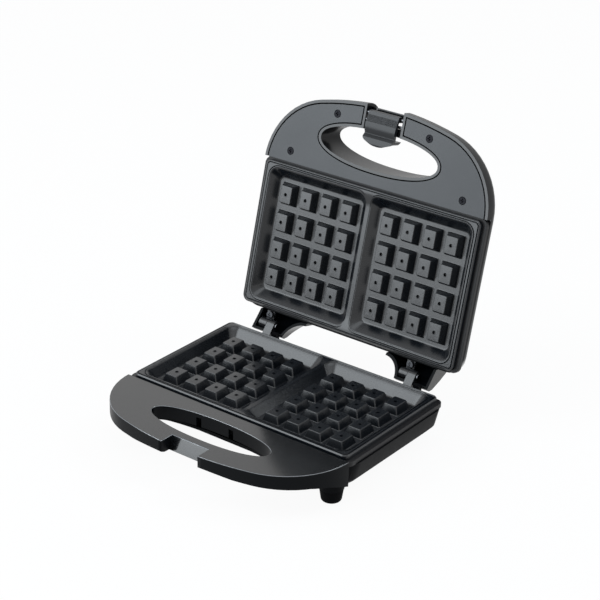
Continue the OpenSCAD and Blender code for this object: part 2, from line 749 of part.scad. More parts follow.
// The lid's domed solid, moved inwards by e
module lid_solid(e) {
    z0 = e > 0 ? 0 : face_d;
    hull() {
        slab(body_outline(e), z0, face_d + lid_edge_h);
        slab(body_outline(1 + e), z0, face_d + lid_edge_h + 4 - e * 0.2);
        slab(body_outline(3.2 + e), z0, face_d + lid_edge_h + 8 - e * 0.4);
        slab(body_outline(6.8 + e), z0, face_d + lid_edge_h + 11.5 - e * 0.7);
        slab(body_outline(11 + e), z0, face_d + lid_edge_h + 13.6 - e * 0.9);
        slab(box_outline(-top_hw - 6 + e, -top_hd - 6 + e, top_hw + 6 - e, top_hd + 6 - e, 14), z0, lid_h - 4.4 - e);
        slab(box_outline(-top_hw - 2.4 + e, -top_hd - 2.4 + e, top_hw + 2.4 - e, top_hd + 2.4 - e, 12), z0, lid_h - 1.2 - e);
        slab(box_outline(-top_hw + 1.2 + e, -top_hd + 1.2 + e, top_hw - 1.2 - e, top_hd - 1.2 - e, 10), z0, lid_h - e);
    }
}

// Plan of one ear with its hollow side towards the middle, moved inwards by e
module ear_plan(e) {
    difference() {
        translate([ear_out - 50 + e, plate_hd + 1]) square([50 - 2 * e, 40]);
        translate([ear_out - 50, ear_tip + 3]) circle(r = ear_hollow_r + e);
    }
}

// Side view of an ear, outside and inside
ear_view = [[plate_hd + 1, wall_d], [rear_y - 0.7, wall_d - 2.4], [ear_tip, ear_low], [ear_tip + 1.9, ear_low + 4],
            [ear_tip + 0.9, ear_low + 8], [hinge_y + 0.8, hinge_z + 12.3], [hinge_y - 5.3, hinge_z + 20.4],
            [rear_y - 1, hinge_z + 26], [plate_hd + 1, hinge_z + 27]];
ear_hollow = [[rear_y, -far / 4], [ear_tip - 2.4, -far / 4], [ear_tip - 2.4, ear_low], [ear_tip - 0.5, ear_low + 4],
              [ear_tip - 1.5, ear_low + 7.4], [hinge_y - 1.2, hinge_z + 11], [hinge_y - 7, hinge_z + 18.6],
              [rear_y, hinge_z + 21]];

module ear(view, e) {
    intersection() {
        side_view(view, 0, far);
        translate([0, 0, -far / 2]) linear_extrude(far) ear_plan(e);
    }
}

// The bar across the lid's notch, above the latch
module notch_bar() {
    y0 = front_y + 3.5;
    top = face_d + lid_edge_h + 6;
    side_view(concat([[y0 + 7, top], [y0 + 7, latch_z + 5.2], [y0, latch_z + 5.2]],
                     arc(y0 + 5, top - 5, 5, 180, 90, 6)), -notch_half - 1, notch_half + 1);
}

module lid_shell() {
    color([0.05, 0.05, 0.055]) in_lid() {
        difference() {
            union() {
                difference() {
                    union() {
                        lid_solid(0);
                        ear(ear_view, 0);
                        mirror([1, 0, 0]) ear(ear_view, 0);
                    }
                    difference() {
                        lid_solid(wall);
                        slab(oval(wall), 0, far);
                        for (s = [-1, 1]) block([s * (notch_half + cheek / 2) - cheek / 2, -far, 0],
                                                [s * (notch_half + cheek / 2) + cheek / 2, oval_y - oval_b + 1, far]);
                    }
                    ear(ear_hollow, wall);
                    mirror([1, 0, 0]) ear(ear_hollow, wall);
                    block([-far, grip_rear, -far], [far, rear_y, wall_d]);
                    block([-notch_half, -far, -1], [notch_half, oval_y, far]);
                }
                intersection() {
                    union() {
                        notch_bar();
                        block([-notch_half - 1, bridge_y, face_d + 0.8], [notch_half + 1, oval_y, face_d + 0.8 + 1.4 * wall]);
                    }
                    lid_solid(0);
                }
                intersection() {
                    lid_solid(0);
                    union() {
                        for (p = grip_screws) translate(p) rod(boss_r, face_d + wall, far);
                        for (p = screw_sites) translate(p) rod(plate_boss_r, shield_at + shield_t, far);
                    }
                }
                intersection() {
                    union() {
                        ear(ear_view, 0);
                        mirror([1, 0, 0]) ear(ear_view, 0);
                    }
                    for (x = hinge_sides) translate([x + lid_screw.x, lid_screw.y, 0]) rod(4.2, lid_pad_z + 2.4, far);
                }
            }
            slab(oval(0), -1, far);
            for (p = grip_screws) translate(p) rod(screw_r + hold_gap, 0, face_d + wall + 9);
            for (p = screw_sites) translate(p) {
                rod(screw_r + 0.2, 0, far);
                rod(head_r + 0.4, head_top - head_h, far);
            }
            slab(box_outline(-top_hw + 6, -top_hd + 6, top_hw - 6, top_hd - 6, 8), lid_h - panel_t, far);
            for (x = hinge_sides) {
                translate([x + lid_screw.x, lid_screw.y, 0]) rod(screw_r + hold_gap, 0, lid_pad_z + 10);
                block([x + lug_x - 0.5, hinge_y - 1, ear_low - 1], [x + lug_x + barrel_w + 0.5, hinge_y + 12, hinge_z - 1]);
            }
            translate([0, latch_y, latch_z]) cross_rod(latch_pin_r + hold_gap, -notch_half - cheek - 1, notch_half + cheek + 1);
            translate([0, stop_pin_y, stop_pin_z]) cross_rod(stop_pin_r + hold_gap, -notch_half - cheek - 1, notch_half + cheek + 1);
            for (s = [-1, 1]) translate([s * lamp_x, lamp_y, 0]) rod(lens_r + 0.1, 0, far);
        }
    }
}

module lid_top_panel() {
    color([0.1, 0.1, 0.11]) in_lid() difference() {
        slab(box_outline(-top_hw + 6 + fit_gap, -top_hd + 6 + fit_gap, top_hw - 6 - fit_gap, top_hd - 6 - fit_gap, 8 - fit_gap),
             lid_h - panel_t, lid_h);
        for (s = [-1, 1]) translate([s * lamp_x, lamp_y, 0]) rod(lens_r + 0.1, 0, far);
    }
}

module lid_handle_cover() {
    color([0.09, 0.09, 0.095]) in_lid() difference() {
        intersection() {
            slab(body_outline(wall + cover_gap), face_d, face_d + wall);
            block([-far, -far, 0], [far, grip_rear, far]);
        }
        slab(oval(wall + cover_gap), 0, far);
        block([-notch_half - cheek - cover_gap, -far, 0], [notch_half + cheek + cover_gap, oval_y, far]);
        for (p = grip_screws) translate(p) {
            rod(screw_r + 0.2, 0, far);
            rod(head_r + 0.4, 0, face_d + wall - cover_web);
        }
    }
}

module handle_cover_screws() {
    color([0.15, 0.15, 0.15]) in_lid() for (p = grip_screws)
        translate([p.x, p.y, face_d + wall - cover_web - head_h]) screw(10);
}

module upper_plate_frame() {
    color([0.02, 0.02, 0.02]) in_lid() turned() plate_frame();
}

module upper_grill_plate() {
    color([0.13, 0.13, 0.14]) in_lid() turned() cooking_plate();
}

module upper_heater() {
    color([0.45, 0.45, 0.46]) in_lid() turned() heater();
}

module upper_heater_straps() {
    color([0.7, 0.7, 0.7]) in_lid() turned() heater_straps();
}

module upper_strap_screws() {
    color([0.6, 0.6, 0.6]) in_lid() turned() strap_screws();
}

module upper_heat_shield() {
    color([0.75, 0.75, 0.76]) in_lid() turned() heat_shield();
}

module upper_plate_screws() {
    color([0.6, 0.6, 0.6]) in_lid() turned() for (p = screw_sites)
        translate([p.x, p.y, -head_top]) screw(head_top - back_d - 3);
}

module upper_thermostat() {
    color([0.2, 0.18, 0.16]) in_lid() turned() thermostat();
}

// A lamp's lens: a domed window with a skirt that goes down to the lamp
module lens() {
    translate([0, lamp_y, 0]) {
        rod(lens_r, lid_ceiling - 1, lid_h + 0.4);
        rod(lens_r + 1.2, lid_ceiling - 2, lid_ceiling);
    }
}

module power_lamp_lens() {
    color([0.8, 0.05, 0.04]) in_lid() translate([-lamp_x, 0, 0]) lens();
}

module ready_lamp_lens() {
    color([0.1, 0.7, 0.15]) in_lid() translate([lamp_x, 0, 0]) lens();
}

module lamp_holder() {
    color([0.8, 0.78, 0.7]) in_lid() {
        block([-19, lamp_y - 7, lamp_z], [19, lamp_y + 7, lamp_z + 2]);
        for (s = [-1, 1]) translate([s * lamp_x, lamp_y, 0]) rod(2.5, lamp_z - 6, lamp_z + eps);
    }
}

module upper_wiring() {
    color([0.8, 0.8, 0.76]) in_lid() for (s = [-1, 1]) {
        x = pin_end - 2.5;
        y = lamp_y + 1.5 + s * 2.5;
        z = shield_at + shield_t + 3.9 + s * 1.3;
        wire([[pin_end - wire_r - hold_gap, s * heater_half, heater_z], [x, s * heater_half, heater_z], [x, s * heater_half, z],
              [x, y, z], [-16, y, z], [-16, y, lamp_z - wire_r - hold_gap]]);
    }
}

// Side view of the lid's hinge arm
arm_view = [[rear_y + 0.3, lid_pad_z], [rear_y + 0.3, lid_pad_z + 2.4], [hinge_y - 2, lid_pad_z + 2.4],
            [hinge_y + 3.2, hinge_z + 3.1], [hinge_y, hinge_z], [hinge_y - 3.9, hinge_z + 2.25],
            [hinge_y - 3.2, lid_pad_z]];

module lid_hinge_brackets() {
    color([0.22, 0.22, 0.23]) in_lid() for (x = hinge_sides) translate([x, 0, 0]) difference() {
        union() {
            side_view(arm_view, knuckle_x, knuckle_x + barrel_w);
            translate([0, hinge_y, hinge_z]) cross_rod(barrel_r, knuckle_x, knuckle_x + barrel_w);
        }
        translate([0, hinge_y, hinge_z]) cross_rod(pin_r + run_gap, knuckle_x - 1, knuckle_x + barrel_w + 1);
        translate([lid_screw.x, lid_screw.y, 0]) rod(screw_r + 0.2, 0, far);
    }
}

module lid_hinge_screws() {
    color([0.5, 0.5, 0.5]) in_lid() for (x = hinge_sides)
        translate([x + lid_screw.x, lid_screw.y, lid_pad_z - head_h]) screw(head_h + 9.5);
}

module latch_pin() {
    color([0.6, 0.6, 0.62]) in_lid() translate([0, latch_y, latch_z])
        cross_rod(latch_pin_r, -notch_half - cheek, notch_half + cheek);
}

module latch_stop_pin() {
    color([0.6, 0.6, 0.62]) in_lid() translate([0, stop_pin_y, stop_pin_z])
        cross_rod(stop_pin_r, -notch_half - cheek, notch_half + cheek);
}

// ---------- latch ----------

// Side view of the latch as it hangs, from the pivot's end to the finger tab: outside, tab, hook, inside
latch_tip = latch_y + hook_reach + 7.3;
ridge_from = [latch_y + 0.5, latch_z - 3.9];
ridge_to = [latch_y + 7.5, latch_z - 5.8];
ridges = 6;
latch_view = [[latch_y - 2.5, latch_z - 1.4], [latch_y - 1.9, latch_z - 3.2], ridge_from, ridge_to,
              [latch_y + 10, latch_z - 6], [latch_y + 13.3, latch_z - 6], [latch_y + 15.7, latch_z - 4.6],
              [latch_y + 17, latch_z - 4.6], [latch_tip - 6.4, latch_z - 7], [latch_tip - 1.9, latch_z - 7.5],
              [latch_tip - 0.4, latch_z - 6.9], [latch_tip, latch_z - 6.1], [latch_tip - 0.8, latch_z - 5.3],
              [latch_y + hook_reach + 2.8, latch_z - 4.5], [latch_y + hook_reach + 2.8, latch_z + 4.3],
              [latch_y + hook_reach, latch_z + 6.1], [latch_y + hook_reach, latch_z - 2.4],
              [latch_y + 3.5, latch_z - 2.4], [latch_y + 2, latch_z - 1.5]];

// Outline of the latch seen from the front, with its rounded tab
module latch_outline() {
    corner = 4.5;
    translate([0, latch_tip]) hull() {
        translate([-latch_w / 2, -2 * latch_w]) square([latch_w, 2 * latch_w - corner - 3.5]);
        for (s = [-1, 1]) translate([s * (latch_w / 2 - corner), -corner - 3.2]) circle(r = corner);
        intersection() {
            translate([0, -latch_w * 2 / 3]) circle(r = latch_w * 2 / 3);
            square(latch_w * 2 / 5, center = true);
        }
    }
}

module latch_clip() {
    color([0.08, 0.08, 0.085]) in_lid() intersection() {
        difference() {
            union() {
                side_view(latch_view, -latch_w / 2, latch_w / 2);
                translate([0, latch_y, latch_z]) cross_rod(latch_hub_r, -latch_w / 2, latch_w / 2);
            }
            translate([0, latch_y, latch_z]) cross_rod(latch_pin_r + run_gap, -latch_w / 2 - 1, latch_w / 2 + 1);
            for (i = [1 : ridges]) translate(concat(0, ridge_from + (ridge_to - ridge_from) * i / (ridges + 1)))
                cross_rod(0.4, -latch_w / 2 - 1, latch_w / 2 + 1);
        }
        translate([0, 0, -far / 2]) linear_extrude(far) latch_outline();
    }
}

lower_housing();
lower_handle_shell();
lower_plate_frame();
lower_grill_plate();
lower_heater();
lower_heater_straps();
lower_strap_screws();
lower_heat_shield();
lower_plate_screws();
lower_handle_screws();
lower_thermostat();
thermal_fuse();
terminal_block();
cord_gland();
lower_wiring();
feet();
base_hinge_brackets();
base_hinge_screws();
hinge_pins();
lid_shell();
lid_top_panel();
lid_handle_cover();
handle_cover_screws();
upper_plate_frame();
upper_grill_plate();
upper_heater();
upper_heater_straps();
upper_strap_screws();
upper_heat_shield();
upper_plate_screws();
upper_thermostat();
power_lamp_lens();
ready_lamp_lens();
lamp_holder();
upper_wiring();
lid_hinge_brackets();
lid_hinge_screws();
latch_pin();
latch_stop_pin();
latch_clip();
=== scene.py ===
import json
import math

import bmesh
import bpy
from mathutils import Matrix, Vector, geometry


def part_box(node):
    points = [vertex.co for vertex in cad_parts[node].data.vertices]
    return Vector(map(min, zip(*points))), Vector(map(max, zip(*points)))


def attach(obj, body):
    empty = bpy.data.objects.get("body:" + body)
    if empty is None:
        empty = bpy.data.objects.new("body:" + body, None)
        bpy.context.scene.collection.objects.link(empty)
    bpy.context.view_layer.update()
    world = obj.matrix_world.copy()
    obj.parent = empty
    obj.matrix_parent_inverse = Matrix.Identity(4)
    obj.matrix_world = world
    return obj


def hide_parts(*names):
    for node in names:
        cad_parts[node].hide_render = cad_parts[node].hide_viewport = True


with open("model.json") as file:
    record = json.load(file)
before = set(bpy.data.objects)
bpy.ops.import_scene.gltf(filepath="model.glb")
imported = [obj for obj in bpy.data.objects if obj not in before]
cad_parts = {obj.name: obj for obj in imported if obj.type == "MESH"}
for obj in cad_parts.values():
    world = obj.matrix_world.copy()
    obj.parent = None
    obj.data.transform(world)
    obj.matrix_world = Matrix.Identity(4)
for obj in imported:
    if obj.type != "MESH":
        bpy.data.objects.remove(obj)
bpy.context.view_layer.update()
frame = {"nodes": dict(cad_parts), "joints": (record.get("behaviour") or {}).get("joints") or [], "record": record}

MM = 0.001
scene = bpy.context.scene


# ---------------------------------------------------------------- shared helpers

def put(name, data):
    """A new object, linked to the scene."""
    made = bpy.data.objects.new(name, data)
    scene.collection.objects.link(made)
    return made


class Wiring:
    """Short calls that add linked nodes to one tree."""

    def __init__(self, tree):
        self.tree = tree

    def add(self, kind, inputs=(), **settings):
        """A new node with its settings and its inputs, each linked or constant."""
        made = self.tree.nodes.new(kind)
        for key, value in settings.items():
            setattr(made, key, value)
        for key, value in dict(inputs).items():
            self.feed(value, made.inputs[key])
        return made

    def feed(self, value, socket):
        """Links a socket's value, or sets a constant one."""
        if isinstance(value, bpy.types.NodeSocket):
            self.tree.links.new(value, socket)
        else:
            socket.default_value = value

    def math(self, how, a, b=0.0):
        return self.add("ShaderNodeMath", {0: a, 1: b}, operation=how).outputs[0]

    def component(self, vector, axis):
        return self.add("ShaderNodeSeparateXYZ", {0: vector}).outputs[axis]

    def noise(self, place, size, detail=2.0, rough=0.5):
        """Noise whose lumps are about size metres wide."""
        scale = self.math("DIVIDE", 1.0, size)
        return self.add("ShaderNodeTexNoise", {"Vector": place, "Scale": scale, "Detail": detail,
                                               "Roughness": rough}).outputs["Fac"]

    def ramp(self, value, span, low, high):
        """Runs from low to high while the value crosses the span."""
        return self.add("ShaderNodeMapRange", {"Value": value, "From Min": span[0], "From Max": span[1],
                                               "To Min": low, "To Max": high}).outputs["Result"]

    def blend(self, share, a, b):
        """A where the share is 0 and b where it is 1."""
        return self.math("ADD", self.math("MULTIPLY", a, self.math("SUBTRACT", 1.0, share)),
                         self.math("MULTIPLY", b, share))

    def blend_colour(self, share, a, b):
        """The same for colours, whose sockets follow a mix node's float and vector ones."""
        mix = self.add("ShaderNodeMix", {0: share, 6: a, 7: b}, data_type="RGBA")
        return mix.outputs[2]


# ---------------------------------------------------------------- camera and studio

CAMERA_AT = (0.8182, -1.067396, 0.7482)
CAMERA_AZIMUTH, CAMERA_HEIGHT, CAMERA_ROLL = 37.248, 25.298, 1.085
CAMERA_LENS, CAMERA_SENSOR, CAMERA_REACH = 111.303, 36, 20
LAMP_TINT = (0.88, 0.95, 1.0)
AMBIENT_COLOUR, AMBIENT_STRENGTH = (0.93, 0.97, 1.0, 1), 0.5
FLOOR_HALF, FLOOR_COLOUR, FLOOR_GLOW = 6.0, (0.86, 0.87, 0.88, 1), 0.94
# name, place, target, width and height in metres, power in watts
SOFTBOXES = [
    ("front_softbox", (-1.35, -2.0, 0.6), (0, 0, 0.12), (1.7, 1.7), 34),
    ("high_softbox", (-1.45, -1.35, 1.75), (0, 0, 0.05), (1.3, 1.0), 20),
    ("top_softbox", (0.2, -0.2, 2.2), (0, 0, 0), (1.6, 1.4), 10),
    ("side_softbox", (2.4, 0.6, 0.9), (0, 0, 0.1), (1.0, 1.2), 6),
    ("rim_softbox", (1.25, 1.1, 1.85), (0, 0.05, 0.1), (0.8, 0.8), 12),
]


def camera_axes():
    """Right, up and backward axes of the camera."""
    az, el, roll = (math.radians(a) for a in (CAMERA_AZIMUTH, CAMERA_HEIGHT, CAMERA_ROLL))
    back = Vector((math.sin(az) * math.cos(el), -math.cos(az) * math.cos(el), math.sin(el)))
    right = Vector((math.cos(az), math.sin(az), 0))
    up = back.cross(right)
    return (right * math.cos(roll) + up * math.sin(roll),
            up * math.cos(roll) - right * math.sin(roll), back)


def place_camera():
    """The camera that sees the open waffle maker from the front right."""
    data = bpy.data.cameras.new("studio_camera")
    data.sensor_width = CAMERA_SENSOR
    data.lens = CAMERA_LENS
    data.clip_end = CAMERA_REACH
    camera = put("studio_camera", data)
    camera.matrix_world = Matrix.Translation(CAMERA_AT) @ Matrix(camera_axes()).transposed().to_4x4()
    scene.camera = camera


def softbox(name, place, target, size, power):
    """A rectangular studio lamp at a place, turned to a target."""
    data = bpy.data.lights.new(name, "AREA")
    data.shape = "RECTANGLE"
    data.size, data.size_y = size
    data.energy = power
    data.color = LAMP_TINT
    lamp = put(name, data)
    lamp.location = place
    lamp.rotation_euler = (Vector(target) - Vector(place)).to_track_quat("-Z", "Y").to_euler()


def seen_rays(w):
    """1 for rays from the camera, a mirror or a glass, 0 for the rest."""
    path = w.add("ShaderNodeLightPath")
    total = path.outputs["Is Camera Ray"]
    for name in ("Is Glossy Ray", "Is Transmission Ray"):
        total = w.math("MAXIMUM", total, path.outputs[name])
    return total


def light_the_world():
    """A world that is seen white and gives a weaker, cooler light."""
    world = bpy.data.worlds.new("white_studio")
    scene.world = world
    world.use_nodes = True
    world.node_tree.nodes.clear()
    w = Wiring(world.node_tree)
    seen = w.add("ShaderNodeBackground", {"Color": (1, 1, 1, 1)})
    cast = w.add("ShaderNodeBackground", {"Color": AMBIENT_COLOUR, "Strength": AMBIENT_STRENGTH})
    mix = w.add("ShaderNodeMixShader", {0: seen_rays(w), 1: cast.outputs[0], 2: seen.outputs[0]})
    w.add("ShaderNodeOutputWorld", {"Surface": mix.outputs[0]})


def lay_floor():
    """A floor that takes faint shadows and otherwise looks white."""
    mesh = bpy.data.meshes.new("studio_floor")
    corners = [(x * FLOOR_HALF, y * FLOOR_HALF, 0) for x, y in ((-1, -1), (1, -1), (1, 1), (-1, 1))]
    mesh.from_pydata(corners, [], [(0, 1, 2, 3)])
    floor = put("studio_floor", mesh)
    paint = bpy.data.materials.new("pale_floor")
    paint.use_nodes = True
    paint.node_tree.nodes.clear()
    w = Wiring(paint.node_tree)
    matt = w.add("ShaderNodeBsdfDiffuse", {"Color": FLOOR_COLOUR})
    glow = w.add("ShaderNodeEmission")
    share = w.math("MULTIPLY", seen_rays(w), FLOOR_GLOW)
    mix = w.add("ShaderNodeMixShader", {0: share, 1: matt.outputs[0], 2: glow.outputs[0]})
    w.add("ShaderNodeOutputMaterial", {"Surface": mix.outputs[0]})
    mesh.materials.append(paint)


def set_studio():
    scene.view_settings.view_transform = "Standard"
    place_camera()
    light_the_world()
    for row in SOFTBOXES:
        softbox(*row)
    lay_floor()


# ---------------------------------------------------------------- finishes

GRAIN_DETAIL, GRAIN_ROUGHNESS = 3.0, 0.6    # of the noise that makes a moulding's grain
DRIFT_SIZE, DRIFT_GAIN = 0.045, 4.0         # slow change of a moulding's sheen: width in metres, strength
COLOUR_SPREAD = 0.15                        # how far a moulding's colour wanders
MOULDED_RELIEF, DRAWN_RELIEF = 0.25, 0.2    # depth of the relief as a share of its grain or lines
LINE_STRETCH = 0.04                         # how much slower drawn lines change along X
DRAWN_SPREAD, DRAWN_BUMP = 0.15, 0.1
# colour of the painted highlight on the handle deck's rounded edges, mixed into their base colour
EDGE_HIGHLIGHT_COLOUR = (0.2, 0.21, 0.225, 1)
# spans of a normal's Z, where the painted edge highlights begin and where they end, and of their place in Y and Z
HIGHLIGHT_START, HIGHLIGHT_END = (0.42, 0.6), (0.8, 0.95)
HIGHLIGHT_FRONT, HIGHLIGHT_ABOVE = (-0.07, -0.065), (0.03, 0.036)
# spans of a normal's Z, X and Y over which a face becomes level, an ear's side or the lid's outside
LEVEL_FACE, EAR_FACE, SHELL_FACE = (0.12, 0.3), (0.4, 0.8), (0.4, 0.85)
LID_BEHIND, LID_ABOVE = (0.05, 0.056), (0.06, 0.064)    # the open lid's place in Y, and in Z above its ears
LID_OUTSIDE = 0.7                           # coat of the lid's outside as a share of the top coat


def node_group(name, inputs, outputs):
    """A new shader group with float or colour sockets; returns it with its two end nodes."""
    group = bpy.data.node_groups.new(name, "ShaderNodeTree")
    for label, value in inputs.items():
        kind = "NodeSocketColor" if isinstance(value, tuple) else "NodeSocketFloat"
        group.interface.new_socket(name=label, in_out="INPUT", socket_type=kind).default_value = value
    for label, kind in outputs.items():
        group.interface.new_socket(name=label, in_out="OUTPUT", socket_type=kind)
    return group, group.nodes.new("NodeGroupInput"), group.nodes.new("NodeGroupOutput")


def moulding_group():
    """Fine spark-eroded texture of a moulding, with a slow change of sheen over its length."""
    group, inner, outer = node_group(
        "moulding_texture",
        {"Grain size": 0.0006, "Roughness": 0.4, "Roughness spread": 0.05, "Colour": (0.02, 0.02, 0.02, 1),
         "Colour spread": COLOUR_SPREAD},
        {"Height": "NodeSocketFloat", "Roughness": "NodeSocketFloat", "Colour": "NodeSocketColor"})
    w = Wiring(group)
    place = w.add("ShaderNodeTexCoord").outputs["Object"]
    grain = w.noise(place, inner.outputs["Grain size"], GRAIN_DETAIL, GRAIN_ROUGHNESS)
    slow = w.noise(place, DRIFT_SIZE)
    w.feed(grain, outer.inputs["Height"])
    both = w.blend(0.5, grain, slow)
    swing = w.math("SUBTRACT", both, 0.5)
    drift = w.math("MULTIPLY", w.math("MULTIPLY", swing, inner.outputs["Roughness spread"]), DRIFT_GAIN)
    w.feed(w.math("ADD", inner.outputs["Roughness"], drift), outer.inputs["Roughness"])
    shade = w.math("ADD", 1.0, w.math("MULTIPLY", swing, inner.outputs["Colour spread"]))
    scaled = w.add("ShaderNodeVectorMath", {0: inner.outputs["Colour"], "Scale": shade}, operation="SCALE")
    w.feed(scaled.outputs[0], outer.inputs["Colour"])
    return group


def drawn_group():
    """Fine parallel lines of rolled or drawn metal, along X."""
    group, inner, outer = node_group(
        "drawn_lines", {"Line width": 0.0003, "Roughness": 0.3, "Roughness spread": DRAWN_SPREAD},
        {"Height": "NodeSocketFloat", "Roughness": "NodeSocketFloat"})
    w = Wiring(group)
    place = w.add("ShaderNodeTexCoord").outputs["Object"]
    flat = w.add("ShaderNodeVectorMath", {0: place, 1: (LINE_STRETCH, 1, 1)}, operation="MULTIPLY").outputs[0]
    lines = w.noise(flat, inner.outputs["Line width"])
    w.feed(lines, outer.inputs["Height"])
    swing = w.math("MULTIPLY", w.math("SUBTRACT", lines, 0.5), inner.outputs["Roughness spread"])
    w.feed(w.math("ADD", inner.outputs["Roughness"], swing), outer.inputs["Roughness"])
    return group


GROUPS = {"moulding": moulding_group(), "drawn": drawn_group()}


def plain_material(name):
    """A new material with the calls that wire it and its shader."""
    material = bpy.data.materials.new(name)
    material.use_nodes = True
    return material, Wiring(material.node_tree), material.node_tree.nodes["Principled BSDF"]


def textured(w, group, values):
    """A texture group in a material, with its values set."""
    texture = w.add("ShaderNodeGroup", node_tree=GROUPS[group])
    for key, value in values.items():
        texture.inputs[key].default_value = value
    return texture


def bumped(w, shader, height, strength, depth):
    """Gives a shader fine relief from a height."""
    bump = w.add("ShaderNodeBump", {"Height": height, "Strength": strength, "Distance": depth})
    w.feed(bump.outputs[0], shader.inputs["Normal"])


def facing(w, spot, axis):
    """How far a face looks along an axis, either way."""
    return w.math("ABSOLUTE", w.component(spot.outputs["Normal"], axis))


def painted_edge_highlight(w, colour):
    """Painted highlight: lightens the colour of the handle deck's rounded edges, where they turn between level and
    upright.
    """
    spot = w.add("ShaderNodeTexCoord")
    tilt = facing(w, spot, "Z")
    band = w.math("MULTIPLY", w.ramp(tilt, HIGHLIGHT_START, 0.0, 1.0), w.ramp(tilt, HIGHLIGHT_END, 1.0, 0.0))
    front = w.ramp(w.component(spot.outputs["Object"], "Y"), HIGHLIGHT_FRONT, 1.0, 0.0)
    above = w.ramp(w.component(spot.outputs["Object"], "Z"), HIGHLIGHT_ABOVE, 0.0, 1.0)
    # how much painted highlight colour goes into the base colour
    share = w.math("MULTIPLY", w.math("MULTIPLY", band, front), above)
    return w.blend_colour(share, colour, EDGE_HIGHLIGHT_COLOUR)


def coat_weight(w, top, side, lid):
    """The coat: top on level faces, side on upright ones and, if given, lid on the open lid's edges."""
    spot = w.add("ShaderNodeTexCoord")
    weight = w.ramp(facing(w, spot, "Z"), LEVEL_FACE, side, top)
    if not lid:
        return weight
    ears = w.ramp(facing(w, spot, "X"), EAR_FACE, 0.0, top)
    shell = w.ramp(facing(w, spot, "Y"), SHELL_FACE, lid, LID_OUTSIDE * top)
    above = w.ramp(w.component(spot.outputs["Object"], "Z"), LID_ABOVE, 0.0, 1.0)
    behind = w.ramp(w.component(spot.outputs["Object"], "Y"), LID_BEHIND, 0.0, 1.0)
    return w.blend(behind, weight, w.blend(above, ears, shell))


def moulded_finish(name, colour, rough, spread=0.05, grain=0.0006, bump=0.15, specular=0.5,
                   top_coat=0.0, side_coat=0.0, coat_rough=0.08, coat_ior=1.5, lid_coat=0.0):
    """Moulded plastic, enamel or rubber; top_coat gives it a coat, and lid_coat a painted highlight on the deck's
    edges as well.
    """
    material, w, shader = plain_material(name)
    texture = textured(w, "moulding", {"Grain size": grain, "Roughness": rough, "Roughness spread": spread,
                                       "Colour": (*colour, 1), "Colour spread": COLOUR_SPREAD})
    shade = texture.outputs["Colour"]
    # where lid_coat is given, a highlight is painted into the colour of the deck's rounded edges
    w.feed(painted_edge_highlight(w, shade) if lid_coat else shade, shader.inputs["Base Color"])
    w.feed(texture.outputs["Roughness"], shader.inputs["Roughness"])
    shader.inputs["Specular IOR Level"].default_value = specular
    bumped(w, shader, texture.outputs["Height"], bump, grain * MOULDED_RELIEF)
    if top_coat:
        shader.inputs["Coat Roughness"].default_value = coat_rough
        shader.inputs["Coat IOR"].default_value = coat_ior
        w.feed(coat_weight(w, top_coat, side_coat, lid_coat), shader.inputs["Coat Weight"])
    return material


def metal_finish(name, colour, rough, lines=0.0003):
    """Sheet or drawn metal with its working marks."""
    material, w, shader = plain_material(name)
    marks = textured(w, "drawn", {"Line width": lines, "Roughness": rough, "Roughness spread": DRAWN_SPREAD})
    shader.inputs["Base Color"].default_value = (*colour, 1)
    shader.inputs["Metallic"].default_value = 1.0
    w.feed(marks.outputs["Roughness"], shader.inputs["Roughness"])
    bumped(w, shader, marks.outputs["Height"], DRAWN_BUMP, lines * DRAWN_RELIEF)
    return material


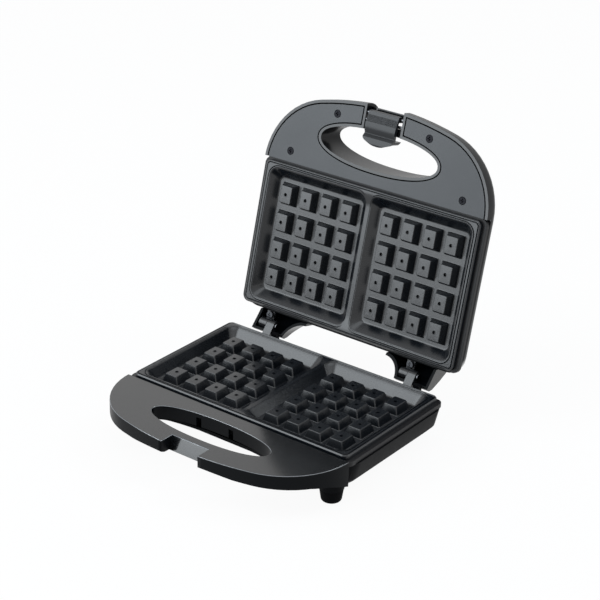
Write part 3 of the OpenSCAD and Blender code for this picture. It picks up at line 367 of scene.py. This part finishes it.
FINISHES = {
    "base_moulding": moulded_finish("textured_base_plastic", (0.005, 0.0052, 0.0058), 0.45, grain=0.0005,
                                    bump=0.3, specular=0.03),
    "gloss_moulding": moulded_finish("polished_black_plastic", (0.002, 0.0027, 0.0036), 0.35, spread=0.02,
                                     grain=0.004, bump=0.02, specular=0.06, top_coat=1.0, side_coat=0.04,
                                     coat_rough=0.12, coat_ior=1.6, lid_coat=0.12),
    "handle_cover": moulded_finish("satin_cover_plastic", (0.013, 0.0165, 0.021), 0.36, grain=0.0007,
                                   bump=0.2),
    "frame_moulding": moulded_finish("matt_frame_plastic", (0.005, 0.005, 0.006), 0.45, bump=0.2,
                                     specular=0.3),
    "coated_casting": moulded_finish("nonstick_coating", (0.003, 0.0045, 0.0068), 0.27, grain=0.0005,
                                     bump=0.3, specular=0.58),
    "heater_tube": metal_finish("oxidised_tube", (0.28, 0.26, 0.24), 0.45),
    "strap_steel": metal_finish("strap_sheet", (0.55, 0.55, 0.55), 0.32),
    "screw_steel": metal_finish("dark_zinc_plate", (0.05, 0.052, 0.056), 0.3),
    "dark_screw": metal_finish("blackened_screw", (0.012, 0.012, 0.014), 0.38),
    "shield_sheet": metal_finish("shield_aluminium", (0.75, 0.76, 0.78), 0.28, lines=0.0006),
    "thermostat_case": moulded_finish("phenolic_case", (0.06, 0.045, 0.035), 0.45),
    "fuse_sleeve": moulded_finish("fuse_sleeve_white", (0.7, 0.66, 0.58), 0.6, grain=0.0008, bump=0.4),
    "terminal_body": moulded_finish("terminal_white", (0.72, 0.72, 0.69), 0.4),
    "gland": moulded_finish("gland_black", (0.015, 0.015, 0.016), 0.45),
    "wire_sleeve": moulded_finish("wire_silicone", (0.68, 0.68, 0.63), 0.5),
    "foot_rubber": moulded_finish("foot_rubber_black", (0.004, 0.004, 0.0045), 0.6, grain=0.0008,
                                  bump=0.35, specular=0.02),
    "hinge_metal": moulded_finish("hinge_enamel", (0.012, 0.0125, 0.014), 0.26, grain=0.0012, bump=0.25),
    "pin_steel": metal_finish("ground_pin", (0.12, 0.123, 0.13), 0.22),
    "lamp_red": moulded_finish("red_lens", (0.45, 0.01, 0.008), 0.12, grain=0.002, bump=0.02,
                               top_coat=0.6, side_coat=0.6),
    "lamp_green": moulded_finish("green_lens", (0.02, 0.3, 0.04), 0.12, grain=0.002, bump=0.02,
                                 top_coat=0.6, side_coat=0.6),
    "lamp_board": moulded_finish("lamp_laminate", (0.42, 0.36, 0.24), 0.55, grain=0.001),
    "latch_moulding": moulded_finish("satin_latch_plastic", (0.009, 0.0105, 0.013), 0.3, bump=0.2,
                                     specular=0.35),
}
SLOT_OF = {row["node"]: row["material_slot"] for row in frame["record"]["subparts"]}
BODY_OF = {node: body for body, nodes in frame["record"]["behaviour"]["bodies"].items() for node in nodes}


def dress_frame():
    """Gives every node of the frame its finish."""
    for node, part in frame["nodes"].items():
        for place in part.material_slots:
            place.material = FINISHES[SLOT_OF[node]]


# ---------------------------------------------------------------- pieces made from the frame's solids

WELD = 2e-6                     # points nearer than this are one, in metres
FLAT_ANGLE = 0.6                # faces that meet within this angle are one, in degrees
CORNER_ANGLE = 32               # edges sharper than this are rounded
CREASE_ANGLE = 38               # edges still sharper than this stay sharp in the shading
LEVEL_SLACK = 5e-5              # how near to a level an edge has to lie, in metres
ROUNDING_STEPS = 2
FACE_WEIGHT = 60                # how much large faces keep their own normals


def new_piece(name, mesh, node):
    """Puts a mesh in the scene as the piece that stands for a node."""
    piece = put(name, mesh)
    mesh.materials.clear()
    mesh.materials.append(FINISHES[SLOT_OF[node]])
    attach(piece, BODY_OF[node])
    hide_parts(node)


def baked(piece):
    """The piece's mesh with its modifiers applied; the piece is removed."""
    bpy.context.view_layer.update()
    graph = bpy.context.evaluated_depsgraph_get()
    mesh = bpy.data.meshes.new_from_object(piece.evaluated_get(graph))
    bpy.data.objects.remove(piece)
    return mesh


def smooth_draft(name, mesh):
    """A passing object with smooth faces that carries modifiers until it is baked."""
    for face in mesh.polygons:
        face.use_smooth = True
    return put(name + "_draft", mesh)


def finished(name, mesh, node):
    """Smooths a mesh between its sharp edges and puts it in the node's stead."""
    draft = smooth_draft(name, mesh)
    mesh.set_sharp_from_angle(angle=math.radians(CREASE_ANGLE))
    weighted = draft.modifiers.new("flat_faces", "WEIGHTED_NORMAL")
    weighted.keep_sharp = True
    weighted.weight = FACE_WEIGHT
    new_piece(name, baked(draft), node)


def softened(name, node, edge, level=None):
    """A copy of a node with its edges rounded by edge millimetres, or only those that lie at one level."""
    mesh = frame["nodes"][node].data.copy()
    form = bmesh.new()
    form.from_mesh(mesh)
    bmesh.ops.remove_doubles(form, verts=form.verts, dist=WELD)
    bmesh.ops.dissolve_limit(form, angle_limit=math.radians(FLAT_ANGLE), verts=form.verts, edges=form.edges)
    weights = form.edges.layers.float.new("bevel_weight_edge")
    for line in form.edges:
        flush = level is not None and all(abs(v.co.z - level * MM) < LEVEL_SLACK for v in line.verts)
        line[weights] = 1.0 if flush and line.calc_face_angle(0) > math.radians(CORNER_ANGLE) else 0.0
    form.to_mesh(mesh)
    form.free()
    draft = smooth_draft(name, mesh)
    rounding = draft.modifiers.new("rounding", "BEVEL")
    rounding.width = edge * MM
    rounding.segments = ROUNDING_STEPS
    rounding.limit_method = "ANGLE" if level is None else "WEIGHT"
    rounding.angle_limit = math.radians(CORNER_ANGLE)
    rounding.miter_outer = "MITER_ARC"
    rounding.use_clamp_overlap = level is None
    finished(name, baked(draft), node)


# ---------------------------------------------------------------- cooking plates, in millimetres

INSIDE_OUTLINE, NEAR = 1, 1e-6  # kind of triangulation wanted, and distance at which its points are one
SEAM = 1e-7                     # points nearer than this are one, in metres

PLATE_LOW, PLATE_HIGH = (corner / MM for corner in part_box("lower_grill_plate"))
PLATE_HW = (PLATE_HIGH.x - PLATE_LOW.x) / 2
PLATE_HD = (PLATE_HIGH.y - PLATE_LOW.y) / 2
PLATE_Y = (PLATE_HIGH.y + PLATE_LOW.y) / 2
PLATE_TOP = PLATE_HIGH.z
PLATE_R = 5.0                   # a plate's corner
FLANGE = 4.0                    # height of a plate's edge
WELL, FLOOR = 9.0, 3.0          # depth of a well and thickness below it
CASTING = 2.0                   # thickness of a well's wall
RIB_HALF, RIB_DROP = 2.0, 2.0   # half width of the rib between the wells, and its depth below the rim
RIB_LEVEL, RIB_RISE = 3, 8      # half width of the rib's low part, and width of its rise to the rim
RIM_LEVEL, RIB_RUN = 3.5, 12    # width of the level rim at the rib's ends, and length of the fall from it
# a well's wall at its top and at its floor: inner and outer side, half depth and corner
LIP_IN, LIP_OUT, LIP_HD, LIP_R = RIB_HALF, PLATE_HW - 6, PLATE_HD - 5, 8.5
BED_IN, BED_OUT, BED_HD, BED_R = RIB_HALF + 6.5, PLATE_HW - 12, PLATE_HD - 13, 4.25
# how finely a rounded path is divided: steps in a corner, and shares of a side where it has points
CORNER_STEPS = 9
SIDE_MARKS = (0.03, 0.09, 0.16, 0.3, 0.5, 0.7, 0.84, 0.91, 0.97)

# the rim's edge and the line pressed round it: distance inwards and height
RIM_PROFILE = [(0, -FLANGE), (0, -1.0), (0.1, -0.85), (0.75, -0.1), (0.9, 0), (1.3, 0), (2.25, -0.9),
               (2.4, -0.9), (2.5, 0), (2.6, 0)]
# the pressed line and round lip of a well: distance outwards away from the rib and beside it, and depth
LIP_PROFILE = [(2.4, 1.7, 0), (2.1, 1.5, 0), (1.25, 1.15, 0.85), (1.1, 1.05, 0.85), (1.0, 0.95, 0),
               (0.6, 0.5, 0), (0.3, 0.3, 0.08), (0.1, 0.1, 0.22), (0, 0, 0.5)]
LIP_ROUND = 0.3                 # nearer to the well than this, the lip is as deep at the rib as elsewhere
LINE_FROM, LINE_FADE = 3, 7     # where the pressed line starts beside the rib, and over what width
# a well's wall: share of the way down, and distance inwards that rounds its foot
WALL_PROFILE = [(0.07, 0), (0.3, 0), (0.6, 0), (0.86, 0), (0.94, 0.1), (0.985, 0.4), (1, 1)]
# the casting's outside below the flange: share of the way down the well's wall, and height
UNDER_PROFILE = [((FLANGE - 0.3) / WELL, -FLANGE), (0.93, -WELL - FLOOR + 0.8), (1, -WELL - FLOOR)]
# grid of points on the rib: reach in X, rows in Y, the first row's distance from the edge, clearance
RIB_REACH, RIB_ROWS, RIB_INSET, RIB_CLEAR = 11, 12, 2.9, 0.45

TEETH = 4                       # columns and rows of teeth in a well
# in X and Y: size of a tooth's top, how much wider its foot is, and the gap between two feet
TOOTH_TOP, TOOTH_FLARE, TOOTH_GAP = (11.3, 14.7), (5.6, 3.9), (4.3, 5.8)
TOOTH_H = WELL - RIB_DROP
TOOTH_STEPS, TOOTH_MARKS = 4, (0.25, 0.5, 0.75)
TOOTH_FOOT_R = 1.2
# a tooth's foot: spread and height, from below the floor
TOOTH_FOOT = [(0.72, -0.6), (0.6, 0), (0.21, 0.08), (0, 0.4)]
# a tooth's crown: share of the flare, distance inwards, corner and depth below the top
TOOTH_CROWN = [(0.05, 0, 0.75, 0.35), (0, 0.12, 0.6, 0.08), (0, 0.4, 0.5, 0)]
DIMPLE_R = 1.5
# a pin mark with its raised ring: share of the mark's radius, and height over the tooth's top
DIMPLE_PROFILE = [(1.4, 0), (1.2, 0.15), (1, 0.1), (0.9, -2)]


def smooth_step(t):
    """0 up to t = 0 and 1 from t = 1, with a smooth rise between."""
    t = min(max(t, 0.0), 1.0)
    return t * t * (3 - 2 * t)


def rounded_path(x0, y0, x1, y1, r, steps=CORNER_STEPS, marks=SIDE_MARKS):
    """Points and outward normals along a rectangle with round corners, counter-clockwise."""
    corners = [(x1 - r, y1 - r), (x0 + r, y1 - r), (x0 + r, y0 + r), (x1 - r, y0 + r)]
    path = []
    for i, centre in enumerate(corners):
        for k in range(steps + 1):
            angle = math.radians(90 * (i + k / steps))
            normal = Vector((math.cos(angle), math.sin(angle)))
            path.append((Vector(centre) + r * normal, normal))
        start = path[-1][0]
        end = Vector(corners[(i + 1) % 4]) + r * normal
        path += [(start.lerp(end, share), normal.copy()) for share in marks]
    return path


def inside(point, polygon):
    """Whether a point lies within a polygon."""
    odd = False
    for a, b in zip(polygon, polygon[1:] + polygon[:1]):
        if (a.y > point.y) == (b.y > point.y):
            continue
        if point.x < a.x + (point.y - a.y) / (b.y - a.y) * (b.x - a.x):
            odd = not odd
    return odd


class Skin:
    """Collects the points and faces of a mesh, in millimetres."""

    def __init__(self):
        self.points, self.faces = [], []

    def ring(self, points):
        """Adds points; returns their numbers."""
        first = len(self.points)
        self.points += [Vector(p) for p in points]
        return list(range(first, len(self.points)))

    def flat(self, loop):
        """A loop's points seen from above."""
        return [self.points[i].to_2d() for i in loop]

    def loft(self, rows):
        """Rings through rows of points, with faces between neighbours; returns the rings."""
        rings = [self.ring(row) for row in rows]
        for a, b in zip(rings, rings[1:]):
            for i in range(len(a)):
                j = (i + 1) % len(a)
                self.faces.append((a[i], a[j], b[j], b[i]))
        return rings

    def fill(self, loops, extra=(), height=None):
        """Triangles between the first loop and the others, which are holes, through extra points."""
        flat, edges, owner = [], [], []
        for loop in loops:
            first = len(flat)
            flat += self.flat(loop)
            owner += loop
            edges += [(first + k, first + (k + 1) % len(loop)) for k in range(len(loop))]
        flat += [Vector(p) for p in extra]
        made, _, triangles, origin, _, _ = geometry.delaunay_2d_cdt(
            flat, edges, [], INSIDE_OUTLINE, NEAR)
        index = []
        for k, point in enumerate(made):
            source = origin[k][0] if origin[k] else len(owner)
            index.append(owner[source] if source < len(owner)
                         else self.ring([(point.x, point.y, height(point.x, point.y))])[0])
        holes = [self.flat(loop) for loop in loops[1:]]
        for triangle in triangles:
            middle = sum((made[k] for k in triangle), Vector((0, 0))) / 3
            if not any(inside(middle, hole) for hole in holes):
                self.faces.append(tuple(index[k] for k in triangle))

    def mesh(self, name):
        """The mesh in metres, with its faces turned outwards."""
        made = bpy.data.meshes.new(name)
        made.from_pydata([p * MM for p in self.points], [], self.faces)
        form = bmesh.new()
        form.from_mesh(made)
        bmesh.ops.remove_doubles(form, verts=form.verts, dist=SEAM)
        bmesh.ops.recalc_face_normals(form, faces=form.faces)
        form.to_mesh(made)
        form.free()
        return made


def rim_height(x, y):
    """Height of the rim: level, but falling to the low rib between the wells."""
    beside_rib = smooth_step((abs(x) - RIB_LEVEL) / RIB_RISE)
    return -RIB_DROP * (1 - beside_rib) * smooth_step((PLATE_HD - RIM_LEVEL - abs(y)) / RIB_RUN)


def well_rows(side, path, bed):
    """Rows of points from the pressed line round a well over its lip and down to its floor."""
    rows = []
    for far, near, depth in LIP_PROFILE:
        row = []
        for p, n in path:
            share = smooth_step((p.x - LINE_FROM) / LINE_FADE)
            at = p + (far * share + near * (1 - share)) * n
            pressed = depth if far < LIP_ROUND else depth * share
            row.append((side * at.x, at.y, rim_height(at.x, at.y) - pressed))
        rows.append(row)
    for drop, inset in WALL_PROFILE:
        row = []
        for (p, _), (q, n) in zip(path, bed):
            at = p.lerp(q, drop) - inset * n
            row.append((side * at.x, at.y, rim_height(p.x, p.y) * (1 - drop) - WELL * drop))
        rows.append(row)
    return rows


def under_rows(side, path, bed):
    """Rows of points down the casting's outside, from the flange to its underside."""
    rows = []
    for share, z in UNDER_PROFILE:
        row = []
        for (p, n), (q, _) in zip(path, bed):
            at = p.lerp(q, share) + CASTING * n
            row.append((side * at.x, at.y, z))
        rows.append(row)
    return rows


def rib_points(lips):
    """A grid of points on the rib and its ends, clear of the wells' lips, which are given as loops."""
    rows = [sign * (PLATE_HD - RIB_INSET - k) for k in range(RIB_ROWS) for sign in (1, -1)]
    points = []
    for x in range(-RIB_REACH, RIB_REACH + 1):
        for y in rows:
            gap = min((Vector((x, y)) - p).length for lip in lips for p in lip)
            if gap > RIB_CLEAR and not inside(Vector((abs(x), y)), lips[0]):
                points.append((x, y))
    return points


def plate_body():
    """A plate without its teeth: two wells in a flanged casting."""
    skin = Skin()
    outline = rounded_path(-PLATE_HW, -PLATE_HD, PLATE_HW, PLATE_HD, PLATE_R)
    path = rounded_path(LIP_IN, -LIP_HD, LIP_OUT, LIP_HD, LIP_R)
    bed = rounded_path(BED_IN, -BED_HD, BED_OUT, BED_HD, BED_R)
    rim = skin.loft([[(*(p - d * n), z) for p, n in outline] for d, z in RIM_PROFILE])
    tops, under = [], []
    for side in (1, -1):
        well = skin.loft(well_rows(side, path, bed))
        skin.fill([well[-1]])
        tops.append(well[0])
        shell = skin.loft(under_rows(side, path, bed))
        skin.fill([shell[-1]])
        under.append(shell[0])
    skin.fill([rim[-1]] + tops, rib_points([skin.flat(top) for top in tops]), rim_height)
    skin.fill([rim[0]] + under)
    return skin


def tooth():
    """One tooth with rounded edges and a pin mark in its top, standing on z = 0."""
    half, flare = Vector(TOOTH_TOP) / 2, Vector(TOOTH_FLARE) / 2
    sizes = [(half + flare * (1 - max(z, 0) / TOOTH_H) + Vector((out, out)), TOOTH_FOOT_R, z)
             for out, z in TOOTH_FOOT]
    sizes += [(half + flare * share - Vector((inset, inset)), r, TOOTH_H - drop)
              for share, inset, r, drop in TOOTH_CROWN]
    rows = [[(*p, z) for p, _ in rounded_path(-h.x, -h.y, h.x, h.y, r, TOOTH_STEPS, TOOTH_MARKS)]
            for h, r, z in sizes]
    around = [math.atan2(y, x) for x, y, _ in rows[-1]]
    for share, z in DIMPLE_PROFILE:
        r = DIMPLE_R * share
        rows.append([(r * math.cos(a), r * math.sin(a), TOOTH_H + z) for a in around])
    skin = Skin()
    rings = skin.loft(rows)
    skin.faces += [tuple(rings[0]), tuple(rings[-1])]
    return skin


def tooth_field(material):
    """The teeth of both wells, set out by a node tree with named inputs; returns one mesh."""
    pattern = put("tooth_pattern", tooth().mesh("tooth_pattern"))
    carrier = put("tooth_carrier", bpy.data.meshes.new("tooth_carrier"))
    tree = bpy.data.node_groups.new("tooth_rows", "GeometryNodeTree")
    pitch = [top + flare + gap for top, flare, gap in zip(TOOTH_TOP, TOOTH_FLARE, TOOTH_GAP)]
    well_x = (BED_IN + BED_OUT) / 2
    values = {"Tooth": ("NodeSocketObject", pattern), "Material": ("NodeSocketMaterial", material),
              "Columns": ("NodeSocketInt", TEETH), "Rows": ("NodeSocketInt", TEETH),
              "Width of field": ("NodeSocketFloat", pitch[0] * (TEETH - 1) * MM),
              "Depth of field": ("NodeSocketFloat", pitch[1] * (TEETH - 1) * MM),
              "Well offset": ("NodeSocketVector", (well_x * MM, 0, -WELL * MM)),
              "Other well": ("NodeSocketVector", (-well_x * MM, 0, -WELL * MM))}
    sockets = {name: tree.interface.new_socket(name=name, in_out="INPUT", socket_type=kind)
               for name, (kind, _) in values.items()}
    tree.interface.new_socket(name="Geometry", in_out="OUTPUT", socket_type="NodeSocketGeometry")
    w = Wiring(tree)
    given, result = w.add("NodeGroupInput"), w.add("NodeGroupOutput")
    grid = w.add("GeometryNodeMeshGrid", {"Size X": given.outputs["Width of field"],
                                          "Size Y": given.outputs["Depth of field"],
                                          "Vertices X": given.outputs["Columns"],
                                          "Vertices Y": given.outputs["Rows"]})
    shape = w.add("GeometryNodeObjectInfo", {"Object": given.outputs["Tooth"]})
    placed = w.add("GeometryNodeInstanceOnPoints", {"Points": grid.outputs["Mesh"],
                                                    "Instance": shape.outputs["Geometry"]})
    both = w.add("GeometryNodeJoinGeometry")
    for name in ("Well offset", "Other well"):
        moved = w.add("GeometryNodeTransform", {"Geometry": placed.outputs["Instances"],
                                                "Translation": given.outputs[name]})
        w.feed(moved.outputs["Geometry"], both.inputs["Geometry"])
    real = w.add("GeometryNodeRealizeInstances", {"Geometry": both.outputs["Geometry"]})
    painted = w.add("GeometryNodeSetMaterial", {"Geometry": real.outputs["Geometry"],
                                                "Material": given.outputs["Material"]})
    w.feed(painted.outputs["Geometry"], result.inputs["Geometry"])
    rows = carrier.modifiers.new("tooth_rows", "NODES")
    rows.node_group = tree
    for name, (_, value) in values.items():
        rows[sockets[name].identifier] = value
    mesh = baked(carrier)
    bpy.data.objects.remove(pattern)
    return mesh


def lid_opening():
    """The turn that carries a shut lid to where it stands."""
    hinge = next(joint for joint in frame["joints"] if joint["name"] == "lid_hinge")
    axis = Matrix.Translation(hinge["pos_m"])
    turn = Matrix.Rotation(-math.radians(hinge["range_deg"][1]), 4, Vector(hinge["axis"]))
    return axis @ turn @ axis.inverted()


def cooking_plates():
    """The lower plate, and the upper one as its mirror image carried open with the lid."""
    form = bmesh.new()
    form.from_mesh(plate_body().mesh("plate_body"))
    form.from_mesh(tooth_field(FINISHES["coated_casting"]))
    seat = Matrix.Translation((0, PLATE_Y * MM, PLATE_TOP * MM))
    upside_down = Matrix.Scale(-1, 4, (0, 0, 1))
    for name, node, place in (("lower_waffle_plate", "lower_grill_plate", seat),
                              ("upper_waffle_plate", "upper_grill_plate",
                               lid_opening() @ seat @ upside_down)):
        copy = form.copy()
        copy.transform(place)
        if place.determinant() < 0:
            bmesh.ops.reverse_faces(copy, faces=copy.faces)
        mesh = bpy.data.meshes.new(name)
        copy.to_mesh(mesh)
        copy.free()
        finished(name, mesh, node)
    form.free()


# ---------------------------------------------------------------- the whole scene

DECK_DROP = 2.0                 # depth of the handle's deck below the lower plate's rim
# name, node, rounding in millimetres and, where only one level's edges are rounded, that level
SOFTENED = [
    ("handle_shell", "lower_handle_shell", 0.5, PLATE_TOP - DECK_DROP),
    ("base_housing", "lower_housing", 0.6),
    ("lower_band", "lower_plate_frame", 0.3),
    ("rubber_feet", "feet", 0.7),
    ("hinge_lugs", "base_hinge_brackets", 0.35),
    ("pivot_pins", "hinge_pins", 0.25),
    ("cord_inlet", "cord_gland", 0.4),
    ("lid_dome", "lid_shell", 0.5),
    ("top_inset", "lid_top_panel", 0.3),
    ("cover_plate", "lid_handle_cover", 0.12),
    ("cover_screws", "handle_cover_screws", 0.12),
    ("upper_band", "upper_plate_frame", 0.3),
    ("hinge_arms", "lid_hinge_brackets", 0.35),
    ("latch_lever", "latch_clip", 0.12),
    ("latch_axle", "latch_pin", 0.2),
    ("latch_stop", "latch_stop_pin", 0.2),
]

set_studio()
dress_frame()
for row in SOFTENED:
    softened(*row)
cooking_plates()
